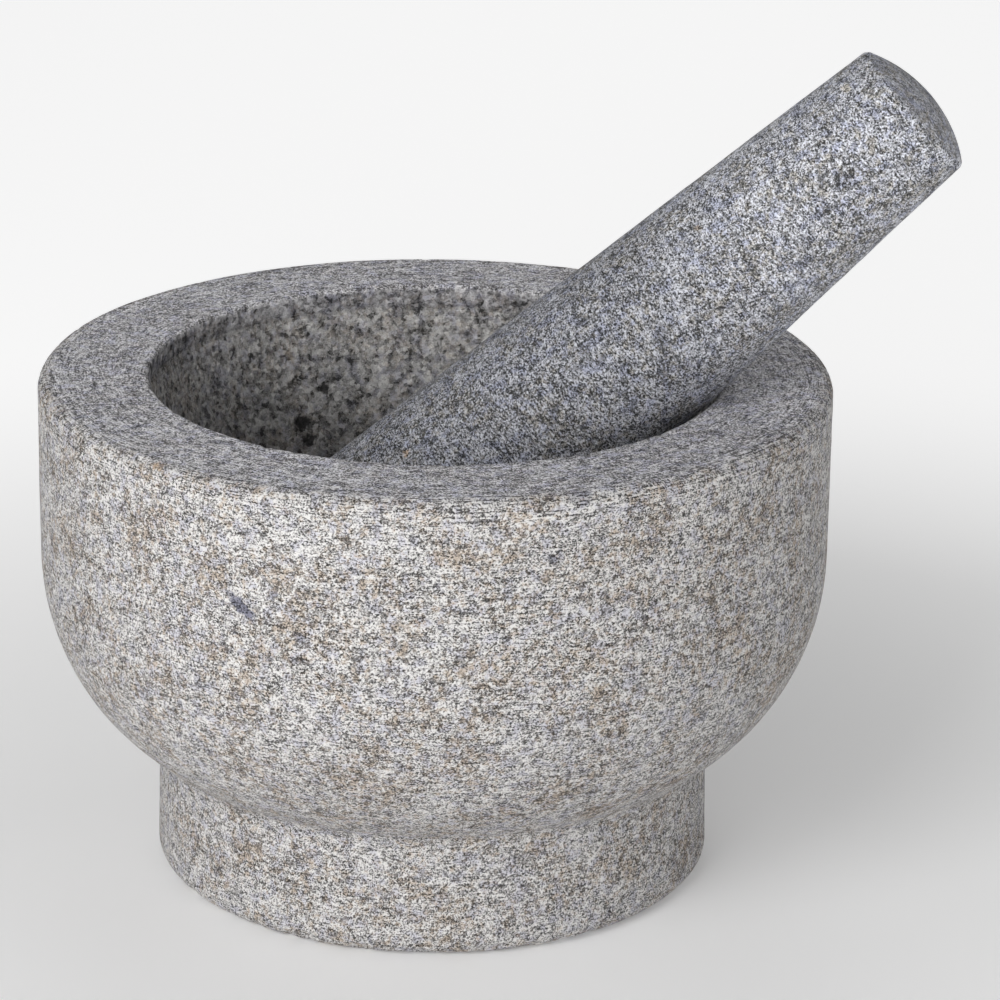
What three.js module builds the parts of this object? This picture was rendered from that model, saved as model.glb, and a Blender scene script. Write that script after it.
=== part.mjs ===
// A granite molcajete: a footed bowl turned from one block of stone, and the loose tapered pestle
// that leans in it. Millimetres, +Z up. The origin is the centre of the foot's flat underside, on
// the bowl's own axis, and the pestle leans towards +X.
import * as THREE from "three";

// Mortar: outside
const HEIGHT = 130;
const OUTER_RADIUS = 100; // the upright wall above the belly
const FOOT_RADIUS = 71.2; // widest part of the foot, just above its rounded lower edge
const FOOT_EDGE_ROUND = 5;
const NECK_RADIUS = 70.7; // where the foot runs into the cove
const COVE_ROUND = 6.5; // hollow between the foot and the belly
const BELLY_ROUND = 60.5;
const BELLY_TOP = 84; // height where the belly has become the upright wall
const RIM_EDGE_ROUND = 3.5; // outer edge of the flat rim

// Mortar: inside
const MOUTH_RADIUS = 71.9;
const LIP_ROUND = 1.5; // inner edge of the flat rim
const LIP_BAND = 6; // short upright band under the inner edge, down to where the bowl starts
const BOWL_FLOOR = 45; // height of the bowl's lowest point, which makes it hold about 0.92 litres
const BOWL_TOP_SLOPE = THREE.MathUtils.degToRad(9); // lean of the bowl's wall just under the band
const BOWL_TOP_PULL = 48; // length of the curve's handle at the wall, along that slope
const BOWL_FLOOR_PULL = 43; // length of the curve's handle at the floor, which is level

// Pestle: a cone that thickens towards its ball-shaped grinding end
const HANDLE_RADIUS = 18.4; // at the edge of the domed handle end
const TAPER = 0.0552; // growth of the radius for each millimetre towards the grinding end
const SHANK_LENGTH = 180.8; // from the handle end's edge to the centre of the grinding ball
const HANDLE_DOME = 4.3; // height of the domed handle end
const HANDLE_EDGE_ROUND = 2;
const HANDLE_EDGE_TURN = THREE.MathUtils.degToRad(70); // how far that rounding turns, up to the dome

// Rest pose: the shank lies on the rim's inner edge and the grinding ball in the bowl
const LEAN = THREE.MathUtils.degToRad(42.4); // rise of the pestle's axis above level
const BALL_REST = new THREE.Vector3(-17.2, -16.9, 81.9); // centre of the grinding ball

const MORTAR_SIDES = 72;
const PESTLE_SIDES = 40;
const STEPS = 5; // straight steps along a small rounding
const FINE_STEPS = 3; // the same along the smallest ones
const QUARTER = Math.PI / 2;

const granite = (color, roughness) =>
  new THREE.MeshStandardMaterial({ color, roughness, metalness: 0 });

// Turns an outline of (radius, height) points about +Z. The outline starts and ends on the axis.
function turned(outline, sides) {
  return new THREE.LatheGeometry(outline, sides).rotateX(QUARTER);
}

// Points along an arc, from one angle to the other, both ends included.
function arc(x, y, radius, from, to, steps) {
  return Array.from({ length: steps + 1 }, (_, i) => {
    const angle = from + ((to - from) * i) / steps;
    return new THREE.Vector2(x + radius * Math.cos(angle), y + radius * Math.sin(angle));
  });
}

// Foot, cove, belly and upright wall, from the centre of the underside up to the rim's outer edge.
function outerWall() {
  const bellyX = OUTER_RADIUS - BELLY_ROUND;
  const coveX = NECK_RADIUS + COVE_ROUND;
  // The cove's arc touches the upright neck, and touches the belly's arc from outside.
  const coveDrop = Math.sqrt((BELLY_ROUND + COVE_ROUND) ** 2 - (coveX - bellyX) ** 2);
  const coveZ = BELLY_TOP - coveDrop;
  const meeting = Math.atan2(-coveDrop, coveX - bellyX);
  const footX = FOOT_RADIUS - FOOT_EDGE_ROUND;
  const rimX = OUTER_RADIUS - RIM_EDGE_ROUND;
  const rimZ = HEIGHT - RIM_EDGE_ROUND;
  return [
    new THREE.Vector2(0, 0),
    ...arc(footX, FOOT_EDGE_ROUND, FOOT_EDGE_ROUND, -QUARTER, 0, STEPS),
    ...arc(coveX, coveZ, COVE_ROUND, Math.PI, Math.PI + meeting, STEPS),
    ...arc(bellyX, BELLY_TOP, BELLY_ROUND, meeting, 0, 2 * STEPS).slice(1),
    ...arc(rimX, rimZ, RIM_EDGE_ROUND, 0, QUARTER, STEPS),
  ];
}

// Rim's inner edge, upright band and bowl, down to the bowl's lowest point on the axis.
function innerWall() {
  const bandFoot = HEIGHT - LIP_BAND;
  const bowl = new THREE.CubicBezierCurve(
    new THREE.Vector2(MOUTH_RADIUS, bandFoot),
    new THREE.Vector2(
      MOUTH_RADIUS - BOWL_TOP_PULL * Math.sin(BOWL_TOP_SLOPE),
      bandFoot - BOWL_TOP_PULL * Math.cos(BOWL_TOP_SLOPE),
    ),
    new THREE.Vector2(BOWL_FLOOR_PULL, BOWL_FLOOR),
    new THREE.Vector2(0, BOWL_FLOOR),
  );
  const lipX = MOUTH_RADIUS + LIP_ROUND;
  const lipZ = HEIGHT - LIP_ROUND;
  return [
    ...arc(lipX, lipZ, LIP_ROUND, QUARTER, Math.PI, FINE_STEPS),
    ...bowl.getSpacedPoints(3 * STEPS),
  ];
}

function mortar() {
  const outline = [...outerWall(), ...innerWall()];
  const mesh = new THREE.Mesh(turned(outline, MORTAR_SIDES), granite(0xa3a29f, 0.9));
  mesh.name = "mortar";
  return mesh;
}

// The pestle's outline about its own axis, from the tip of the grinding ball at the bottom to the
// top of the handle's dome. Its origin is the centre of the ball.
function pestleOutline() {
  const cone = Math.atan(TAPER);
  // A ball that touches the cone on the inside: its centre lies on the axis at the shank's end.
  const ballRadius = (HANDLE_RADIUS + TAPER * SHANK_LENGTH) * Math.cos(cone);
  const ball = arc(0, 0, ballRadius, -QUARTER, cone, 2 * STEPS);
  const edgeX = HANDLE_RADIUS - HANDLE_EDGE_ROUND;
  const edgeZ = SHANK_LENGTH - HANDLE_EDGE_ROUND;
  const edge = arc(edgeX, edgeZ, HANDLE_EDGE_ROUND, 0, HANDLE_EDGE_TURN, FINE_STEPS);
  // The dome is a shallow cap that starts where the edge's rounding ends.
  const start = edge[edge.length - 1];
  const rise = SHANK_LENGTH + HANDLE_DOME - start.y;
  const domeRadius = (start.x ** 2 + rise ** 2) / (2 * rise);
  const domeZ = start.y + rise - domeRadius;
  const domeStart = Math.asin((start.y - domeZ) / domeRadius);
  const dome = arc(0, domeZ, domeRadius, domeStart, QUARTER, STEPS);
  return [...ball, ...edge, ...dome.slice(1)];
}

function pestle() {
  const mesh = new THREE.Mesh(turned(pestleOutline(), PESTLE_SIDES), granite(0x9a9da2, 0.85));
  mesh.name = "pestle";
  mesh.position.copy(BALL_REST);
  mesh.rotation.y = QUARTER - LEAN;
  return mesh;
}

const molcajete = new THREE.Group();
molcajete.add(mortar(), pestle());

export default molcajete;
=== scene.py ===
import math

import bpy
import numpy as np
from mathutils import Matrix, Vector


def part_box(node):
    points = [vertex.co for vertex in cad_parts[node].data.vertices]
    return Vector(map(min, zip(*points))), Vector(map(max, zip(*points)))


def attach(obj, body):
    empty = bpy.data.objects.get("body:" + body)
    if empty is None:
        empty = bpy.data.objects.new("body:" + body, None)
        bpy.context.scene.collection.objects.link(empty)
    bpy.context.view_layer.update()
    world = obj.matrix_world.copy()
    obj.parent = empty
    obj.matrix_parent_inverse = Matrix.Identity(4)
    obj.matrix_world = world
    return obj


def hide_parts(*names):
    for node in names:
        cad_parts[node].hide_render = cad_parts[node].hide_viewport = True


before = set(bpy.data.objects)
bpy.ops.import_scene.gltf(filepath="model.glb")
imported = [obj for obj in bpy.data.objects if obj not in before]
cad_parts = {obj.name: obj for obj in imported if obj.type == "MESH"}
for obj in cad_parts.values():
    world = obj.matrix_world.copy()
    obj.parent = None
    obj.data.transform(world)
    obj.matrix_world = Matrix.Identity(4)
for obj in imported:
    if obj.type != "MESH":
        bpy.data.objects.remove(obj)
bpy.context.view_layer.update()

SEED = 7
RNG = np.random.default_rng(SEED)

# ---------------------------------------------------------------- sizes
# One "mm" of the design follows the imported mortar, which is 200 mm across.
low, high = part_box("mortar")
MM = (high.x - low.x) / 200
HEIGHT = (high.z - low.z) / MM
OUTER_RADIUS = 100.0
FOOT_RADIUS = 71.2
FOOT_EDGE_ROUND = 5.0
NECK_RADIUS = 70.7
COVE_ROUND = 6.5
BELLY_ROUND = 60.5
BELLY_TOP = 84.0
RIM_EDGE_ROUND = 3.5
MOUTH_RADIUS = 71.9
LIP_ROUND = 1.5
LIP_BAND = 6.0
BOWL_FLOOR = 45.0
BOWL_TOP_SLOPE = math.radians(9)
BOWL_TOP_PULL = 48.0
BOWL_FLOOR_PULL = 43.0

HANDLE_RADIUS = 18.4
TAPER = 0.0552
SHANK_LENGTH = 180.8
HANDLE_DOME = 4.3
HANDLE_EDGE_ROUND = 2.0
HANDLE_EDGE_TURN = math.radians(70)
CONE_ANGLE = math.atan(TAPER)
BALL_RADIUS = (HANDLE_RADIUS + TAPER * SHANK_LENGTH) * math.cos(CONE_ANGLE)

MORTAR_SIDES = 420
PESTLE_SIDES = 200
QUARTER = math.pi / 2

LIGHT_DISTANCE = 1.6
LIGHT_SIZE = 0.8


# ---------------------------------------------------------------- outlines
def line(a, b, step):
    """Points from a to b, about step apart, without b."""
    n = max(1, round(math.dist(a, b) / step))
    return [(a[0] + (b[0] - a[0]) * i / n, a[1] + (b[1] - a[1]) * i / n) for i in range(n)]


def arc(x, y, radius, start, end, step):
    """Points along an arc about (x, y), about step apart, without the last one."""
    n = max(3, round(abs(end - start) * radius / step))
    angles = [start + (end - start) * i / n for i in range(n)]
    return [(x + radius * math.cos(a), y + radius * math.sin(a)) for a in angles]


def bezier(p0, p1, p2, p3, count):
    """Points along a cubic curve, both ends included."""
    t = np.linspace(0, 1, count + 1)[:, None]
    p0, p1, p2, p3 = (np.array(p) for p in (p0, p1, p2, p3))
    points = (1 - t) ** 3 * p0 + 3 * t * (1 - t) ** 2 * p1 + 3 * t**2 * (1 - t) * p2 + t**3 * p3
    return [tuple(p) for p in points]


def mortar_outline():
    """(radius, height) points in mm from the middle of the underside, over the rim, to the bowl's
    floor. The cove and the belly are two arcs that meet at one slope."""
    step = 1.15
    belly_x = OUTER_RADIUS - BELLY_ROUND
    cove_x = NECK_RADIUS + COVE_ROUND
    cove_drop = math.sqrt((BELLY_ROUND + COVE_ROUND) ** 2 - (cove_x - belly_x) ** 2)
    cove_z = BELLY_TOP - cove_drop
    meeting = math.atan2(-cove_drop, cove_x - belly_x)
    foot_x = FOOT_RADIUS - FOOT_EDGE_ROUND
    rim_x = OUTER_RADIUS - RIM_EDGE_ROUND
    rim_z = HEIGHT - RIM_EDGE_ROUND
    lip_x = MOUTH_RADIUS + LIP_ROUND
    return (
        line((0, 0), (foot_x, 0), 7)
        + arc(foot_x, FOOT_EDGE_ROUND, FOOT_EDGE_ROUND, -QUARTER, 0, 0.8)
        + line((FOOT_RADIUS, FOOT_EDGE_ROUND), (NECK_RADIUS, cove_z), step)
        + arc(cove_x, cove_z, COVE_ROUND, math.pi, math.pi + meeting, 0.8)
        + arc(belly_x, BELLY_TOP, BELLY_ROUND, meeting, 0, step)
        + line((OUTER_RADIUS, BELLY_TOP), (OUTER_RADIUS, rim_z), step)
        + arc(rim_x, rim_z, RIM_EDGE_ROUND, 0, QUARTER, 0.55)
        + line((rim_x, HEIGHT), (lip_x, HEIGHT), step)
        + arc(lip_x, HEIGHT - LIP_ROUND, LIP_ROUND, QUARTER, math.pi, 0.4)
        + line((MOUTH_RADIUS, HEIGHT - LIP_ROUND), (MOUTH_RADIUS, HEIGHT - LIP_BAND), 0.6)
        + bowl_wall()
    )


def pestle_outline():
    """(radius, height) points in mm about the pestle's axis, from the grinding end's tip up to the
    dome. Height 0 is the middle of the grinding ball."""
    cone_start = (BALL_RADIUS * math.cos(CONE_ANGLE), BALL_RADIUS * math.sin(CONE_ANGLE))
    edge_x = HANDLE_RADIUS - HANDLE_EDGE_ROUND
    edge_z = SHANK_LENGTH - HANDLE_EDGE_ROUND
    start_x = edge_x + HANDLE_EDGE_ROUND * math.cos(HANDLE_EDGE_TURN)
    start_z = edge_z + HANDLE_EDGE_ROUND * math.sin(HANDLE_EDGE_TURN)
    rise = SHANK_LENGTH + HANDLE_DOME - start_z
    dome = (start_x**2 + rise**2) / (2 * rise)
    dome_z = start_z + rise - dome
    dome_start = math.asin((start_z - dome_z) / dome)
    return (
        arc(0, 0, BALL_RADIUS, -QUARTER, CONE_ANGLE, 0.9)
        + line(cone_start, (HANDLE_RADIUS, edge_z), 0.9)
        + arc(edge_x, edge_z, HANDLE_EDGE_ROUND, 0, HANDLE_EDGE_TURN, 0.35)
        + arc(0, dome_z, dome, dome_start, QUARTER, 0.7)
        + [(0.0, dome_z + dome)]
    )


def bowl_wall():
    """(radius, height) points of the bowl's inside below the upright lip, ending on the axis."""
    band_foot = HEIGHT - LIP_BAND
    turn = (
        MOUTH_RADIUS - BOWL_TOP_PULL * math.sin(BOWL_TOP_SLOPE),
        band_foot - BOWL_TOP_PULL * math.cos(BOWL_TOP_SLOPE),
    )
    floor_turn = (BOWL_FLOOR_PULL, BOWL_FLOOR)
    return bezier((MOUTH_RADIUS, band_foot), turn, floor_turn, (0, BOWL_FLOOR), 84)


def bowl_radius(height):
    """The bowl's inner radius at a height, in mm."""
    r, z = np.array(bowl_wall())[::-1].T
    return float(np.interp(height, z, r))


def shank_radius(height):
    """The pestle's radius at a height above its ball's centre, in mm."""
    return HANDLE_RADIUS + TAPER * (SHANK_LENGTH - height)


def stone_point(azimuth, height, radius):
    """A point round a stone's own axis. Azimuth 0 is the side that faces the camera, 90 the right."""
    turn = math.radians(azimuth)
    return (radius * math.sin(turn), -radius * math.cos(turn), height)


def stone_direction(azimuth, tilt):
    """A direction along a stone's side, tilt degrees above level towards the right."""
    turn, rise = math.radians(azimuth), math.radians(tilt)
    return (math.cos(turn) * math.cos(rise), math.sin(turn) * math.cos(rise), math.sin(rise))


# Pits where a clot of mica fell out: azimuth, height and size in mm.
BOWL_PITS = ((-154, 104.6, 1.7), (-147.5, 96.7, 2.4), (-148.5, 92.2, 1.8))
PESTLE_PITS = (
    (-6, 117.3, 1.6),
    (-17, 106.4, 1.3),
    (6, 123, 1.1),
    (40, 60, 1.4),
    (150, 140, 1.6),
    (-160, 80, 1.3),
)


# ---------------------------------------------------------------- relief
LATTICE = np.random.default_rng(SEED + 1).random((64, 64, 64))


def smooth_noise(points, size):
    """Noise from -1 to 1 at each point, its lumps about size across, in the points' own units."""
    p = points / size
    cell = np.floor(p).astype(int)
    f = p - cell
    f = f * f * (3 - 2 * f)
    total = 0
    for dx in (0, 1):
        for dy in (0, 1):
            for dz in (0, 1):
                i, j, k = ((cell + (dx, dy, dz)) % len(LATTICE)).T
                corner = LATTICE[i, j, k]
                weight = (
                    np.where(dx, f[:, 0], 1 - f[:, 0])
                    * np.where(dy, f[:, 1], 1 - f[:, 1])
                    * np.where(dz, f[:, 2], 1 - f[:, 2])
                )
                total = total + corner * weight
    return 2 * total - 1


def hollows(points, centres, radii, depths, raggedness=0.35):
    """How deep each point sinks, in mm, where small chips and pits are broken out of the stone."""
    sink = np.zeros(len(points))
    for centre, radius, depth in zip(centres, radii, depths):
        near = np.flatnonzero(np.abs(points - centre).max(1) < 1.6 * radius)
        if not len(near):
            continue
        ragged = 1 + raggedness * smooth_noise(points[near] + 31.7, 0.7 * radius)
        reach = np.linalg.norm(points[near] - centre, axis=1) / (radius * ragged)
        sink[near] = np.maximum(sink[near], depth * np.clip(1 - reach**2, 0, 1) ** 0.7)
    return sink


def edge_chips(count, radius, height, spread, sizes):
    """Centres and sizes of small chips, strewn spread mm about a circular edge."""
    turn = RNG.uniform(0, 2 * math.pi, count)
    r = radius + RNG.normal(0, spread, count)
    z = height + RNG.normal(0, spread, count)
    size = RNG.uniform(*sizes, count)
    return np.stack([r * np.cos(turn), r * np.sin(turn), z], 1), size


# ---------------------------------------------------------------- turned meshes
def revolve(pairs, around):
    """Each (radius, height) pair carried round the axis, ring by ring."""
    flat = pairs[:, None, :1] * around[None]
    upright = np.broadcast_to(pairs[:, None, 1:], (len(pairs), len(around), 1))
    return np.concatenate([flat, upright], 2).reshape(-1, 3)


def turned_mesh(name, outline, sides, sink):
    """A mesh turned about Z from (radius, height) points in mm. sink(points) gives each vertex's
    distance inwards, in mm. The outline starts and ends on the axis."""
    ring = np.array(outline[1:-1])
    tangent = np.gradient(ring, axis=0)
    normal = np.stack([tangent[:, 1], -tangent[:, 0]], 1)
    normal /= np.linalg.norm(normal, axis=1)[:, None]
    turn = np.arange(sides) * 2 * math.pi / sides
    around = np.stack([np.cos(turn), np.sin(turn)], 1)
    points = revolve(ring, around)
    points = points - revolve(normal, around) * sink(points)[:, None]
    ends = np.array([(0.0, 0.0, outline[0][1]), (0.0, 0.0, outline[-1][1])])
    ends[:, 2] += np.array((1, -1)) * sink(ends)
    vertices = np.concatenate([points, ends]) * MM
    index = np.arange(len(ring) * sides).reshape(len(ring), sides)
    after = np.roll(index, -1, axis=1)
    quads = np.stack([index[:-1], after[:-1], after[1:], index[1:]], 2).reshape(-1, 4).tolist()
    start, end = len(points), len(points) + 1
    fans = [(start, b, a) for a, b in zip(index[0].tolist(), after[0].tolist())]
    fans += [(end, a, b) for a, b in zip(index[-1].tolist(), after[-1].tolist())]
    mesh = bpy.data.meshes.new(name)
    mesh.from_pydata(vertices.tolist(), [], quads + fans)
    mesh.shade_smooth()
    piece = bpy.data.objects.new(name, mesh)
    bpy.context.scene.collection.objects.link(piece)
    return piece


def mortar_sink():
    """Slight unevenness of the turning, chipped edges, pits where grains fell out, and the fine
    groove under the bowl's upright lip."""
    rim, rim_size = edge_chips(60, OUTER_RADIUS - 0.8, HEIGHT - 0.8, spread=0.8, sizes=(0.6, 1.7))
    lip, lip_size = edge_chips(50, MOUTH_RADIUS + 0.3, HEIGHT - 0.3, spread=0.5, sizes=(0.7, 2.0))
    foot, foot_size = edge_chips(40, FOOT_RADIUS - 1.5, 1.5, spread=0.9, sizes=(0.8, 2.6))
    pit_count = 40
    pit_turn = RNG.uniform(0, 360, pit_count)
    pit_level = RNG.uniform(BOWL_FLOOR + 20, HEIGHT - LIP_BAND - 4, pit_count)
    pits = [stone_point(a, z, bowl_radius(z)) for a, z in zip(pit_turn, pit_level)]
    pit_size = RNG.uniform(0.9, 1.7, pit_count)
    named = [stone_point(a, z, bowl_radius(z)) for a, z, size in BOWL_PITS]
    named_size = [size for a, z, size in BOWL_PITS]
    centres = np.concatenate([rim, lip, foot, pits, named])
    sizes = np.concatenate([rim_size, lip_size, foot_size, pit_size, named_size])
    depths = 0.32 * sizes
    groove_depth, groove_width = 0.3, 0.7
    groove_height = HEIGHT - LIP_BAND

    def sink(points):
        waves = 0.12 * (1 + smooth_noise(points, 17))
        ripples = 0.05 * (1 + smooth_noise(points + 9, 4))
        inside = np.hypot(points[:, 0], points[:, 1]) < MOUTH_RADIUS + 0.5
        groove = groove_depth * np.exp(-(((points[:, 2] - groove_height) / groove_width) ** 2))
        broken = hollows(points, centres, sizes, depths)
        return waves + ripples + groove * inside + broken

    return sink


def pestle_sink():
    """Slight unevenness, small chips round the handle end's edge, and a few pits."""
    edge = (HANDLE_RADIUS - 0.6, SHANK_LENGTH - 0.6)
    chips, chip_size = edge_chips(26, *edge, spread=0.5, sizes=(0.7, 2.0))
    pits = [stone_point(a, z, shank_radius(z)) for a, z, size in PESTLE_PITS]
    centres = np.concatenate([chips, pits])
    sizes = np.concatenate([chip_size, [size for a, z, size in PESTLE_PITS]])
    depths = 0.35 * sizes

    def sink(points):
        waves = 0.10 * (1 + smooth_noise(points + 50, 13))
        ripples = 0.04 * (1 + smooth_noise(points + 20, 3.5))
        return waves + ripples + hollows(points, centres, sizes, depths)

    return sink


# ---------------------------------------------------------------- granite
class Nodes:
    """Adds nodes to a material, so that a texture reads as a formula."""

    def __init__(self, name):
        self.material = bpy.data.materials.new(name)
        self.material.use_nodes = True
        self.tree = self.material.node_tree
        self.shader = self.tree.nodes["Principled BSDF"]

    def link(self, source, socket):
        """Feeds a socket from a node's output, or sets it to a number or a colour."""
        if isinstance(source, (int, float)):
            socket.default_value = source
        elif isinstance(source, tuple):
            socket.default_value = source if len(source) == len(socket.default_value) else (*source, 1)
        else:
            self.tree.links.new(source, socket)

    def math(self, operation, a, b=0.0, c=0.0):
        node = self.tree.nodes.new("ShaderNodeMath")
        node.operation = operation
        for source, socket in zip((a, b, c), node.inputs):
            self.link(source, socket)
        return node.outputs[0]

    def add(self, *values):
        total = values[0]
        for value in values[1:]:
            total = self.math("ADD", total, value)
        return total

    def times(self, *values):
        product = values[0]
        for value in values[1:]:
            product = self.math("MULTIPLY", product, value)
        return product

    def vector(self, operation, a, b):
        node = self.tree.nodes.new("ShaderNodeVectorMath")
        node.operation = operation
        self.link(a, node.inputs[0])
        self.link(b, node.inputs["Scale" if operation == "SCALE" else 1])
        return node.outputs[0]

    def split(self, vector):
        node = self.tree.nodes.new("ShaderNodeSeparateXYZ")
        self.link(vector, node.inputs[0])
        return node.outputs

    def dot(self, a, b):
        node = self.tree.nodes.new("ShaderNodeVectorMath")
        node.operation = "DOT_PRODUCT"
        self.link(a, node.inputs[0])
        self.link(b, node.inputs[1])
        return node.outputs["Value"]

    def join(self, x, y, z):
        node = self.tree.nodes.new("ShaderNodeCombineXYZ")
        for source, socket in zip((x, y, z), node.inputs):
            self.link(source, socket)
        return node.outputs[0]

    def ramp(self, value, low, high, start=0.0, end=1.0):
        """value turned smoothly from start, at low, to end, at high."""
        node = self.tree.nodes.new("ShaderNodeMapRange")
        node.interpolation_type = "SMOOTHSTEP"
        if not isinstance(low, (int, float)) or low > high:
            low, high, start, end = high, low, end, start
        for source, socket in zip((value, low, high, start, end), node.inputs):
            self.link(source, socket)
        return node.outputs[0]

    def mix(self, factor, a, b, blend="MIX"):
        node = self.tree.nodes.new("ShaderNodeMix")
        node.data_type = "RGBA"
        node.blend_type = blend
        self.link(factor, node.inputs["Factor"])
        self.link(a, node.inputs[6])
        self.link(b, node.inputs[7])
        return node.outputs[2]

    def noise(self, vector, size, detail=2.0, roughness=0.5, w=None):
        """Noise about 0, mostly from -0.25 to 0.25, whose lumps are about size across."""
        node = self.tree.nodes.new("ShaderNodeTexNoise")
        if w is not None:
            node.noise_dimensions = "4D"
            self.link(w, node.inputs["W"])
        self.link(vector, node.inputs["Vector"])
        node.inputs["Scale"].default_value = 1 / size
        node.inputs["Detail"].default_value = detail
        node.inputs["Roughness"].default_value = roughness
        return self.math("SUBTRACT", node.outputs["Fac"], 0.5)

    def bend(self, vector, size, reach):
        """vector moved about by up to about reach, so that edges through it wander."""
        node = self.tree.nodes.new("ShaderNodeTexNoise")
        self.link(vector, node.inputs["Vector"])
        node.inputs["Scale"].default_value = 1 / size
        shift = self.vector("SUBTRACT", node.outputs["Color"], (0.5, 0.5, 0.5))
        return self.vector("ADD", vector, self.vector("SCALE", shift, 2 * reach))

    def grains(self, vector, size):
        """Three random numbers from 0 to 1 for each crystal, about size across."""
        node = self.tree.nodes.new("ShaderNodeTexVoronoi")
        self.link(vector, node.inputs["Vector"])
        node.inputs["Scale"].default_value = 1 / size
        return self.split(node.outputs["Color"])

    def spot(self, vector, centre, along, length, width):
        """1 inside an oval patch about centre, length long in the direction along, and 0 outside."""
        offset = self.vector("SUBTRACT", vector, centre)
        forward = self.vector("SCALE", along, self.dot(offset, along))
        across = self.vector("SUBTRACT", offset, forward)
        reach = self.vector(
            "ADD", self.vector("SCALE", forward, 2 / length), self.vector("SCALE", across, 2 / width)
        )
        return self.ramp(self.math("SQRT", self.dot(reach, reach)), 0.65, 1.2, 1.0, 0.0)


# Sizes of the grain, in mm.
LARGE_CRYSTAL = 2.6
MEDIUM_CRYSTAL = 1.0
FINE_CRYSTAL = 0.38
TOOLING_WIDTH = 0.36
GRIT_LENGTH = 0.5
MARK_LENGTH = 6.0

# The least that a grain's light and dark may multiply its colour by.
DARKEST_TONE = 0.12


def own_coordinates(n, place_at_rest):
    """Coordinates in mm about a stone's own axis, wherever the stone lies."""
    own = n.tree.nodes.new("ShaderNodeMapping")
    own.vector_type = "TEXTURE"
    own.inputs["Location"].default_value = place_at_rest.to_translation()
    own.inputs["Rotation"].default_value = place_at_rest.to_euler("XYZ")
    n.link(n.tree.nodes.new("ShaderNodeTexCoord").outputs["Object"], own.inputs["Vector"])
    return n.vector("SCALE", own.outputs[0], 1 / MM)


def tooling(n, x, y, z, radius, full_radius):
    """Turning leaves marks that run round the axis at one radius and height, and draws the crushed
    grit out a little the same way. Both have their full length at full_radius."""
    cosine = n.math("DIVIDE", x, n.math("MAXIMUM", radius, 0.01))
    sine = n.math("DIVIDE", y, n.math("MAXIMUM", radius, 0.01))

    def round_noise(length, detail, roughness):
        turns = full_radius * TOOLING_WIDTH / length
        turned = n.join(radius, z, n.times(cosine, turns))
        return n.noise(turned, TOOLING_WIDTH, detail, roughness, w=n.times(sine, turns))

    return {"grit": round_noise(GRIT_LENGTH, 1.0, 0.6), "marks": round_noise(MARK_LENGTH, 1.0, 0.5)}


def crystals(n, mm):
    """Crystals of feldspar, quartz and mica, down to crushed sugar on the tooled skin, and the
    patches they gather in. Each noise is read at an offset of its own, so that no two line up."""
    bent = n.bend(mm, 1.3, 0.6)

    def patches(size, detail, offset):
        return n.noise(n.vector("ADD", mm, offset), size, detail)

    return {
        "bent": bent,
        "large": n.grains(bent, LARGE_CRYSTAL),
        "medium": n.grains(n.vector("ADD", bent, (7.0, 3.0, 5.0)), MEDIUM_CRYSTAL),
        "fine": n.grains(mm, FINE_CRYSTAL),
        "cloud": n.noise(mm, 7.0, 2.0),
        "stain": patches(11.0, 2.0, (40.0, 10.0, 20.0)),
        "patch": patches(2.6, 1.0, (3.0, 60.0, 9.0)),
        "blue_patch": patches(3.0, 1.0, (30.0, 6.0, 90.0)),
        "tan_patch": patches(1.7, 1.0, (13.0, 26.0, 70.0)),
    }


def stone_tone(n, look, place, grain):
    """How light or dark each grain is, about 1."""
    tooled = n.add(
        n.times(grain["grit"], look["grit"]),
        n.times(n.math("SUBTRACT", grain["fine"][0], 0.5), look["fine"]),
        n.times(grain["marks"], look["marks"], place["marks"]),
    )
    mineral = n.add(
        n.times(n.math("SUBTRACT", grain["medium"][0], 0.5), look["medium"]),
        n.times(n.math("SUBTRACT", grain["large"][0], 0.5), look["large"]),
        n.times(grain["patch"], look["patch"]),
        n.times(grain["cloud"], look["cloud"]),
    )
    tone = n.add(1.0, n.times(tooled, place["tooled"]), n.times(mineral, place["mineral"]))
    return n.math("MINIMUM", n.math("MAXIMUM", tone, DARKEST_TONE), place["brightest"])


def black_mica(n, look, place, grain):
    """Small flakes that crowd into loose swarms and leave clean crystals between."""
    crowding = n.add(grain["cloud"], n.times(grain["stain"], 0.6), n.times(grain["patch"], -1.2))
    swarm = n.math("MULTIPLY_ADD", crowding, 0.4, look["mica"])
    flaky = n.math("SUBTRACT", n.times(swarm, 0.45), grain["medium"][2])
    specked = n.math("SUBTRACT", n.times(swarm, 1.8), grain["fine"][2])
    flakes = n.ramp(flaky, -0.03, 0.03, 0.0, 0.7)
    specks = n.ramp(specked, -0.03, 0.03, 0.0, 0.9)
    return n.times(n.math("MAXIMUM", flakes, specks), place["tooled"])


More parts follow.
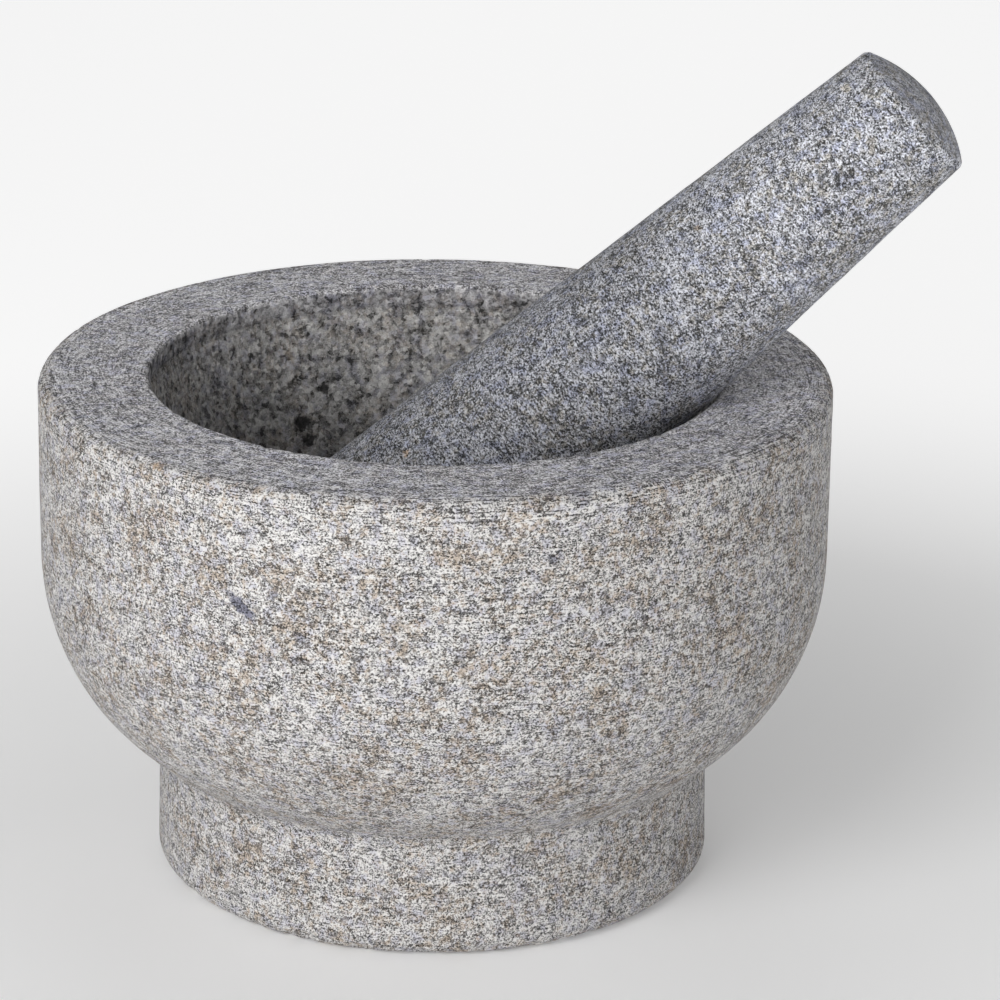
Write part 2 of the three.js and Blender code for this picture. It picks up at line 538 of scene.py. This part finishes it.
def stone_colour(n, look, place, grain):
    """Pale crystals, blue-grey ones and rust, with the larger inclusions over them."""
    bluish = n.math("MULTIPLY_ADD", grain["large"][1], 0.12, grain["blue_patch"])
    is_blue = n.ramp(bluish, 0.04, 0.22)
    colour = n.mix(n.times(is_blue, look["blue_share"]), look["pale"], look["blue"])
    # Rust clings to the darker specks in stained patches.
    rust = n.add(
        grain["tan_patch"],
        n.times(grain["stain"], 0.7),
        n.times(grain["medium"][1], 0.14),
        n.times(grain["grit"], -0.6),
    )
    is_tan = n.ramp(rust, 0.0, 0.34)
    colour = n.mix(n.times(is_tan, look["tan_share"], place["rust"]), colour, look["tan"])
    ragged = n.bend(grain["bent"], 1.1, 1.3)
    for spot in look["spots"]:
        share = n.times(n.spot(ragged, *spot["shape"]), spot["share"])
        colour = n.mix(share, colour, spot["colour"])
    tone = stone_tone(n, look, place, grain)
    colour = n.mix(1.0, colour, n.join(tone, tone, tone), blend="MULTIPLY")
    mica = black_mica(n, look, place, grain)
    colour = n.mix(n.times(mica, 0.75), colour, look["dark"])
    return n.mix(1.0, colour, place["tint"], blend="MULTIPLY")


def stone_bump(n, look, place, grain):
    """The relief of the crushed grit and the turning marks."""
    height = n.add(
        n.times(grain["grit"], 1.4),
        n.times(grain["fine"][0], 0.35),
        n.times(grain["marks"], place["marks"], 0.9),
    )
    bump = n.tree.nodes.new("ShaderNodeBump")
    bump.inputs["Distance"].default_value = look["relief"] * MM
    bump.inputs["Strength"].default_value = 1.0
    n.link(height, bump.inputs["Height"])
    return bump.outputs[0]


def granite(name, look, regions, place_at_rest):
    """Granite whose look gives its minerals and their shares. regions(n, radius, z) gives what
    differs from place to place: how strongly the tooling, the crystals, the turning marks and the
    rust show, the brightest tone, and a tint."""
    n = Nodes(name)
    mm = own_coordinates(n, place_at_rest)
    x, y, z = n.split(mm)
    radius = n.math("SQRT", n.math("MULTIPLY_ADD", x, x, n.times(y, y)))
    place = regions(n, radius, z)
    grain = {**tooling(n, x, y, z, radius, look["radius"]), **crystals(n, mm)}
    n.link(stone_colour(n, look, place, grain), n.shader.inputs["Base Color"])
    n.link(n.ramp(grain["fine"][1], 0.0, 1.0, 0.72, 0.95), n.shader.inputs["Roughness"])
    n.shader.inputs["Specular IOR Level"].default_value = 0.3
    n.link(stone_bump(n, look, place, grain), n.shader.inputs["Normal"])
    return n.material


BLUE_GREY = (0.125, 0.127, 0.165)
BROWN = (0.17, 0.13, 0.09)
RUST = (0.30, 0.21, 0.13)
NEAR_BLACK = (0.022, 0.021, 0.022)
OCHRE = (0.40, 0.34, 0.22)

# Tints multiply the granite's colour. The rim's lighter tint is partly painted light; the bowl's,
# band's and groove's darker tints are painted shade, and the lip's paler tint a painted highlight.
PLAIN = (1.0, 1.0, 1.0)
RIM_PAINTED_LIGHT_TINT = (1.14, 1.152, 1.215)
BOWL_TOP_SHADE_TINT = (0.82, 0.822, 0.82)
BOWL_DEPTH_SHADE_TINT = (0.265, 0.265, 0.265)
BAND_SHADE_TINT = (0.74, 0.745, 0.785)
GROOVE_SHADE_TINT = (0.35, 0.35, 0.36)
LIP_HIGHLIGHT_TINT = (0.92, 0.92, 0.945)
HANDLE_TINT = (1.19, 1.19, 1.20)
SHANK_TINT = (0.88, 0.88, 0.89)
DOME_TINT = (1.3, 1.3, 1.32)


def inclusion(azimuth, height, radius, tilt, length, width, colour, share):
    """A larger inclusion or stain, its length and width in mm."""
    shape = (stone_point(azimuth, height, radius), stone_direction(azimuth, tilt), length, width)
    return {"shape": shape, "colour": colour, "share": share}


def pit_stains(pits, radius_at, tilt, length, width, share):
    """A near-black stain round each pit, its length and width in pit sizes."""
    return [
        inclusion(a, z, radius_at(z), tilt, length * size, width * size, NEAR_BLACK, share)
        for a, z, size in pits
    ]


# pale, blue, tan and dark are the minerals' colours, and blue_share, tan_share and mica say how
# much of the last three shows. grit, fine and marks say how strongly the tooling varies the tone,
# and medium, large, patch and cloud how strongly the crystals do. radius is where the marks have
# their full length, and relief is the bump's height; both are in mm.
MORTAR_LOOK = {
    "radius": OUTER_RADIUS,
    "pale": (0.45, 0.441, 0.434),
    "blue": (0.345, 0.343, 0.385),
    "blue_share": 0.75,
    "tan": (0.30, 0.243, 0.187),
    "tan_share": 0.8,
    "dark": (0.085, 0.074, 0.068),
    "mica": 0.05,
    "grit": 4.2,
    "fine": 1.4,
    "medium": 0.45,
    "large": 0.2,
    "patch": 0.8,
    "cloud": 0.3,
    "marks": 1.8,
    "relief": 0.14,
    "spots": [
        inclusion(-27, 99.5, OUTER_RADIUS, -40, 10.0, 3.2, BLUE_GREY, 0.95),
        inclusion(-22, 104, OUTER_RADIUS, 60, 3.6, 2.0, BLUE_GREY, 0.6),
        inclusion(-18.3, 94, OUTER_RADIUS, -50, 5.0, 2.6, BLUE_GREY, 0.6),
        inclusion(-23.6, 118.6, OUTER_RADIUS, 50, 2.6, 1.6, NEAR_BLACK, 0.65),
        inclusion(8.7, 76, OUTER_RADIUS, -25, 5.5, 2.2, NEAR_BLACK, 0.6),
        inclusion(16, 114.4, OUTER_RADIUS, -60, 3.6, 1.8, BLUE_GREY, 0.7),
        inclusion(20, 129.5, OUTER_RADIUS - 2, 0, 7.0, 6.0, BLUE_GREY, 0.3),
        inclusion(-41.7, 129.3, OUTER_RADIUS - 1.5, -10, 3.4, 2.4, RUST, 0.6),
        inclusion(-146.5, 114.5, bowl_radius(114.5), 40, 3.4, 2.4, BROWN, 0.6),
        *pit_stains(BOWL_PITS, bowl_radius, 0, 2.6, 1.9, 0.95),
    ],
}
PESTLE_LOOK = {
    **MORTAR_LOOK,
    "radius": shank_radius(SHANK_LENGTH / 2),
    "pale": (0.302, 0.307, 0.329),
    "blue": (0.21, 0.222, 0.28),
    "tan": (0.202, 0.185, 0.152),
    "tan_share": 0.7,
    "dark": (0.05, 0.052, 0.05),
    "grit": 4.9,
    "fine": 1.8,
    "patch": 1.2,
    "marks": 1.6,
    "spots": [
        inclusion(-48.3, 123, shank_radius(123), 20, 3.2, 1.5, BROWN, 0.7),
        inclusion(-51.7, 32.3, shank_radius(32), 0, 2.6, 2.0, RUST, 0.75),
        inclusion(-65.5, 171.6, shank_radius(172), 30, 4.0, 2.4, OCHRE, 0.4),
        *pit_stains(PESTLE_PITS, shank_radius, 30, 2.0, 0.8, 0.8),
    ],
}


def mortar_regions(n, radius, z):
    """The rim's flat top is ground smoother and tinted lighter, which is painted light, and bluer; its
    shoulder is scored deeper.
    The bowl is worn softer and tinted darker, more so with depth, which is painted shade. The upright
    band under its lip is tinted darker, painted shade, and bluer; the fine groove under it is tinted
    dark, painted shade; and the lip's edge is paler, a painted highlight."""
    band_foot = HEIGHT - LIP_BAND
    # The rim's flat top is tinted lighter, which is painted light, and bluer.
    rim = n.times(
        n.ramp(z, HEIGHT - 2.5, HEIGHT - 0.3),
        n.ramp(radius, OUTER_RADIUS - 5, OUTER_RADIUS - 0.4, 1.0, 0.0),
    )
    shoulder = n.times(
        n.ramp(z, HEIGHT - 8, HEIGHT - 4),
        n.ramp(radius, OUTER_RADIUS - 9, OUTER_RADIUS - 4),
    )
    inside = n.times(
        n.ramp(z, HEIGHT - 1.2, HEIGHT - 0.2, 1.0, 0.0),
        n.ramp(radius, MOUTH_RADIUS + 0.2, MOUTH_RADIUS + 1.2, 1.0, 0.0),
        n.ramp(z, BOWL_FLOOR - 5, BOWL_FLOOR - 1),
    )
    # The upright band under the lip is tinted darker, which is painted shade, and bluer.
    band = n.times(inside, n.ramp(z, band_foot - 0.3, band_foot + 0.5))
    # Painted shade: the fine groove under the band is tinted dark.
    off_groove = n.math("ABSOLUTE", n.math("SUBTRACT", z, band_foot))
    groove = n.times(inside, n.ramp(off_groove, 0.4, 1.0, 1.0, 0.0))
    # Painted highlight: the lip's rounded edge is tinted paler than the bowl's inside.
    edge = n.times(
        n.ramp(z, HEIGHT - 1.8, HEIGHT - 0.6),
        n.ramp(radius, MOUTH_RADIUS, MOUTH_RADIUS + 2.2, 1.0, 0.0),
    )
    # Painted shade: the bowl's inside is tinted darker, more so with depth.
    deep_shade = n.ramp(z, BOWL_FLOOR + 25, band_foot, 1.0, 0.0)

    tint = n.mix(rim, PLAIN, RIM_PAINTED_LIGHT_TINT)
    tint = n.mix(inside, tint, n.mix(deep_shade, BOWL_TOP_SHADE_TINT, BOWL_DEPTH_SHADE_TINT))
    tint = n.mix(n.times(band, 0.8), tint, BAND_SHADE_TINT)
    tint = n.mix(n.times(groove, 0.3), tint, GROOVE_SHADE_TINT)
    tint = n.mix(n.times(edge, 0.7), tint, LIP_HIGHLIGHT_TINT)
    return {
        "tooled": n.add(1.0, n.times(rim, 0.15), n.times(inside, -0.74)),
        "mineral": n.add(1.0, n.times(rim, 0.15), n.times(inside, 1.4)),
        "brightest": n.add(1.55, n.times(inside, 0.7), n.times(rim, 0.3)),
        "tint": tint,
        "marks": n.add(1.0, n.times(rim, 0.2), n.times(shoulder, 0.9)),
        "rust": n.math("SUBTRACT", 1.0, n.add(n.times(rim, 0.8), n.times(inside, 0.45))),
    }


def pestle_regions(n, radius, z):
    """The handle's domed end is ground smoother and paler. The shank below the handle is darker,
    a guess that stands in for some of the shade in the photograph."""
    dome = n.ramp(z, SHANK_LENGTH - 1.0, SHANK_LENGTH + 0.2)
    below_handle = n.ramp(z, 95.0, 140.0, 1.0, 0.0)
    side_tint = n.mix(below_handle, HANDLE_TINT, SHANK_TINT)
    return {
        "tooled": n.ramp(dome, 0.0, 1.0, 1.0, 0.6),
        "mineral": n.ramp(dome, 0.0, 1.0, 1.0, 0.8),
        "brightest": 2.2,
        "tint": n.mix(dome, side_tint, DOME_TINT),
        "marks": 1.0,
        "rust": 1.0,
    }


# ---------------------------------------------------------------- pieces
def pestle_place():
    """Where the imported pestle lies: its grinding ball's centre at the origin, its axis along Z.
    Its two ends are the two points of the node farthest from each other."""
    points = np.array([v.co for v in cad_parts["pestle"].data.vertices])
    one_end = points[np.linalg.norm(points - points.mean(0), axis=1).argmax()]
    other_end = points[np.linalg.norm(points - one_end, axis=1).argmax()]
    bottom, top = sorted((one_end, other_end), key=lambda p: p[2])
    axis = Vector(top - bottom).normalized()
    across = Vector((0, 1, 0)).cross(axis).normalized()
    turn = Matrix((across, axis.cross(across), axis)).transposed().to_4x4()
    return Matrix.Translation(Vector(bottom) + axis * (BALL_RADIUS * MM)) @ turn


def make_mortar():
    piece = turned_mesh("mortar_stone", mortar_outline(), MORTAR_SIDES, mortar_sink())
    piece.data.materials.append(granite("mortar_granite", MORTAR_LOOK, mortar_regions, Matrix()))
    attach(piece, "mortar_body")
    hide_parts("mortar")


def make_pestle():
    piece = turned_mesh("pestle_stone", pestle_outline(), PESTLE_SIDES, pestle_sink())
    place = pestle_place()
    piece.data.transform(place)
    piece.data.materials.append(granite("pestle_granite", PESTLE_LOOK, pestle_regions, place))
    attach(piece, "pestle_body")
    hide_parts("pestle")


# ---------------------------------------------------------------- studio
def make_floor():
    """A pale floor that glows a little more away from the bowl: the glow is painted light, and its
    dimmer ring round the bowl a painted shadow.
    """
    bpy.ops.mesh.primitive_plane_add(size=12, location=(0, 0, 0))
    floor = bpy.context.object
    floor.name = "floor"
    n = Nodes("pale_floor_painted_glow")
    n.shader.inputs["Base Color"].default_value = (0.82, 0.82, 0.82, 1)
    n.shader.inputs["Roughness"].default_value = 0.9
    n.shader.inputs["Emission Color"].default_value = (1, 1, 1, 1)
    geometry = n.tree.nodes.new("ShaderNodeNewGeometry")
    x, y, _ = n.split(geometry.outputs["Position"])
    away = n.math("SQRT", n.add(n.times(x, x), n.times(y, y)))
    # Painted light: the floor glows, less near the bowl, which leaves a painted shadow round it.
    n.link(n.ramp(away, 0.10, 0.45, 0.14, 0.45), n.shader.inputs["Emission Strength"])
    floor.data.materials.append(n.material)


def area_light(name, azimuth, elevation, watts):
    """A soft square light that faces the bowl. Azimuth 0 is the camera's side, 90 the right."""
    a, e = math.radians(azimuth), math.radians(elevation)
    away = Vector((math.sin(a) * math.cos(e), -math.cos(a) * math.cos(e), math.sin(e)))
    target = Vector((0, 0, 0.08))
    place = target + LIGHT_DISTANCE * away
    data = bpy.data.lights.new(name, "AREA")
    data.size = LIGHT_SIZE
    data.energy = watts
    light = bpy.data.objects.new(name, data)
    light.location = place
    light.rotation_euler = (target - place).to_track_quat("-Z", "Y").to_euler()
    bpy.context.scene.collection.objects.link(light)


def make_lights():
    area_light("key", azimuth=-32, elevation=30, watts=13.5)
    area_light("front", azimuth=-14, elevation=4, watts=11.0)
    area_light("right", azimuth=80, elevation=4, watts=2.2)
    area_light("right_back", azimuth=125, elevation=30, watts=1.8)
    area_light("back", azimuth=180, elevation=35, watts=2.8)
    world = bpy.data.worlds.new("studio")
    world.use_nodes = True
    background = world.node_tree.nodes["Background"]
    background.inputs["Color"].default_value = (1, 1, 1, 1)
    background.inputs["Strength"].default_value = 0.25
    bpy.context.scene.world = world
    bpy.context.scene.view_settings.view_transform = "Standard"


def make_camera():
    """The camera stands before the bowl, a little over a metre away, and looks down on it."""
    data = bpy.data.cameras.new("camera")
    data.sensor_width = 36
    data.lens = 164.3
    camera = bpy.data.objects.new("camera", data)
    place = Vector((0, -1.0930, 0.4844))
    pitch, yaw, roll = math.radians(19.60), math.radians(0.867), math.radians(0.78)
    forward = Vector(
        (math.sin(yaw) * math.cos(pitch), math.cos(yaw) * math.cos(pitch), -math.sin(pitch))
    )
    level = Vector((math.cos(yaw), -math.sin(yaw), 0))
    upright = level.cross(forward)
    right = level * math.cos(roll) + upright * math.sin(roll)
    up = upright * math.cos(roll) - level * math.sin(roll)
    turn = Matrix((right, up, -forward)).transposed().to_4x4()
    camera.matrix_world = Matrix.Translation(place) @ turn
    bpy.context.scene.collection.objects.link(camera)
    bpy.context.scene.camera = camera


make_camera()
make_mortar()
make_pestle()
make_floor()
make_lights()
